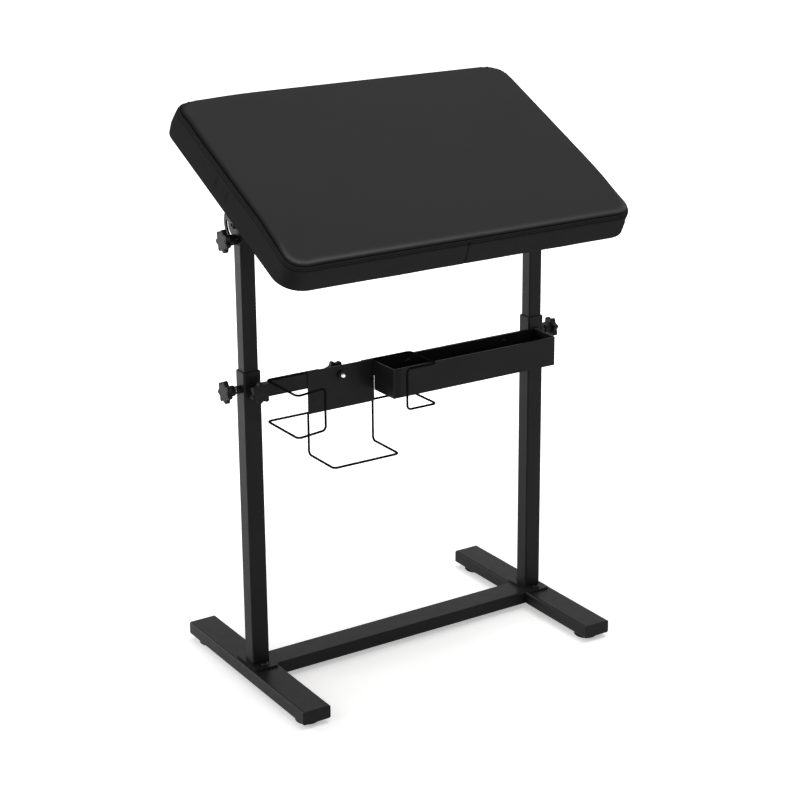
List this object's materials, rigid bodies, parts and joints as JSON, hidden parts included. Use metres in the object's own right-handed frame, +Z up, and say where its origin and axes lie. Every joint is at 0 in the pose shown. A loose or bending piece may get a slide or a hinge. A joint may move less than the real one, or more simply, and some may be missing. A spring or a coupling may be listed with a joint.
{
  "type": "tattoo_arm_rest_stand",
  "caption": "Tattoo arm rest stand: tilting padded top on two telescopic posts, H base, tool bar with tray, accessory plate and wire bottle holders.",
  "frame": {"origin": "middle of the bottom of the bounding box, on the floor", "axes": "+X to the user's right along the tool bar, -Y is the front where the tray is, +Z up"},
  "size_m": [0.5968, 0.3868, 0.8662],
  "materials": {
    "frame_paint": "satin black powder coat",
    "black_hardware": "black oxide",
    "plastic_trim": "matt moulded",
    "foot_rubber": "matt",
    "knob_plastic": "fine spark texture",
    "bright_steel": "bright zinc",
    "board_wood": "plain ply",
    "cover_leather": "satin artificial leather"
  },
  "bodies": {
    "base": {"stretcher": "frame_paint", "left_leg": "frame_paint", "right_leg": "frame_paint", "leg_end_caps": "plastic_trim", "foot_pads": "foot_rubber", "left_foot_plate": "frame_paint", "right_foot_plate": "frame_paint", "foot_plate_bolts": "black_hardware", "foot_plate_nuts": "black_hardware", "left_outer_post": "frame_paint", "right_outer_post": "frame_paint", "left_collar": "plastic_trim", "right_collar": "plastic_trim", "height_lock_nuts": "black_hardware", "tool_bar": "frame_paint", "bar_end_screw": "black_hardware", "accessory_plate": "frame_paint", "plate_nut": "black_hardware", "left_wire_holder": "frame_paint", "right_wire_holder": "frame_paint", "centre_wire_holder": "frame_paint", "tool_tray": "frame_paint", "tray_screws": "black_hardware", "tray_nuts": "black_hardware"},
    "lift": {"left_inner_post": "frame_paint", "right_inner_post": "frame_paint", "post_top_caps": "plastic_trim", "post_glides": "plastic_trim", "pivot_bolts": "black_hardware", "pivot_nuts": "black_hardware", "tilt_lock_nuts": "black_hardware", "tilt_washers": "black_hardware"},
    "pad": {"left_tilt_bracket": "frame_paint", "right_tilt_bracket": "frame_paint", "bracket_screws": "black_hardware", "pad_board": "board_wood", "pad_cushion": "cover_leather"},
    "left_height_knob_set": {"left_height_knob": "knob_plastic", "left_height_stud": "bright_steel"},
    "right_height_knob_set": {"right_height_knob": "knob_plastic", "right_height_stud": "bright_steel"},
    "left_tilt_knob_set": {"left_tilt_knob": "knob_plastic", "left_tilt_stud": "bright_steel"},
    "right_tilt_knob_set": {"right_tilt_knob": "knob_plastic", "right_tilt_stud": "bright_steel"},
    "bar_knob_set": {"bar_knob": "knob_plastic", "bar_stud": "bright_steel"},
    "plate_knob_set": {"plate_knob": "knob_plastic", "plate_stud": "bright_steel"}
  },
  "joints": [
    {"name": "height_slide", "type": "slide", "parent": "base", "child": "lift", "axis": [0, 0, 1], "range_m": [-0.1, 0.15]},
    {"name": "pad_tilt", "type": "hinge", "parent": "lift", "child": "pad", "pos_m": [0, 0.01494, 0.706], "axis": [1, 0, 0], "range_deg": [-86.5, 33.5]},
    {"name": "left_height_turn", "type": "hinge", "parent": "base", "child": "left_height_knob_set", "pos_m": [-0.277, 0.01494, 0.463], "axis": [-1, 0, 0], "range_deg": [0, 540]},
    {"name": "right_height_turn", "type": "hinge", "parent": "base", "child": "right_height_knob_set", "pos_m": [0.277, 0.01494, 0.463], "axis": [1, 0, 0], "range_deg": [0, 540]},
    {"name": "left_tilt_turn", "type": "hinge", "parent": "lift", "child": "left_tilt_knob_set", "pos_m": [-0.2712, 0.01494, 0.6845], "axis": [-1, 0, 0], "range_deg": [0, 540]},
    {"name": "right_tilt_turn", "type": "hinge", "parent": "lift", "child": "right_tilt_knob_set", "pos_m": [0.2712, 0.01494, 0.6845], "axis": [1, 0, 0], "range_deg": [0, 540]},
    {"name": "bar_turn", "type": "hinge", "parent": "base", "child": "bar_knob_set", "pos_m": [-0.249, -0.00111, 0.463], "axis": [0, -1, 0], "range_deg": [0, 540]},
    {"name": "plate_turn", "type": "hinge", "parent": "base", "child": "plate_knob_set", "pos_m": [-0.1075, 0.00249, 0.4607], "axis": [0, 1, 0], "range_deg": [0, 540]}
  ]
}
